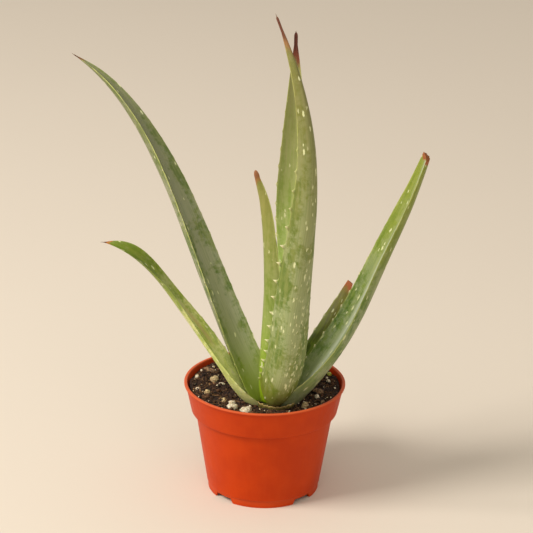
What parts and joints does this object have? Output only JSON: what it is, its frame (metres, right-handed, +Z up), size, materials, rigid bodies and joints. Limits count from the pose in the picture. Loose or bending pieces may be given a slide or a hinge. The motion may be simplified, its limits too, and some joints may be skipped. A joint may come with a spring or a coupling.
{
  "type": "potted aloe plant",
  "caption": "Young aloe with long fleshy toothed leaves rising from a low crown in soil, in a round tapered plastic nursery pot with a collar.",
  "frame": {"origin": "middle of the plant's footprint, on the plane the pot stands on; the pot's own axis is about 14 mm towards +X and 1 mm towards +Y of it", "axes": "+Z up along the pot's axis, -Y towards the side that the largest leaf shows its back to, +X towards the leaf with the broken tip"},
  "size_m": [0.2316, 0.139, 0.3331],
  "materials": {
    "pot_plastic": "satin",
    "potting_soil": "matte",
    "leaf_skin": "satin",
    "young_leaf_skin": "satin",
    "old_leaf_skin": "satin",
    "stem_flesh": "matte",
    "dried_scale": "matte",
    "perlite": "matte",
    "bark": "matte",
    "coated_feed": "gloss"
  },
  "bodies": {
    "root": {"bark_chip_01": "bark", "bark_chip_02": "bark", "bark_chip_03": "bark", "dried_scale": "dried_scale", "feed_bead_01": "coated_feed", "leaf_back_tall": "leaf_skin", "leaf_front": "leaf_skin", "leaf_inner_short": "young_leaf_skin", "leaf_left_low": "old_leaf_skin", "leaf_left_tall": "leaf_skin", "leaf_right": "leaf_skin", "leaf_right_small": "old_leaf_skin", "perlite_01": "perlite", "perlite_02": "perlite", "perlite_03": "perlite", "perlite_04": "perlite", "perlite_05": "perlite", "perlite_06": "perlite", "perlite_07": "perlite", "perlite_08": "perlite", "perlite_09": "perlite", "perlite_10": "perlite", "perlite_11": "perlite", "perlite_12": "perlite", "perlite_13": "perlite", "perlite_14": "perlite", "perlite_15": "perlite", "perlite_16": "perlite", "pot": "pot_plastic", "soil": "potting_soil", "stem": "stem_flesh"}
  },
  "joints": []
}
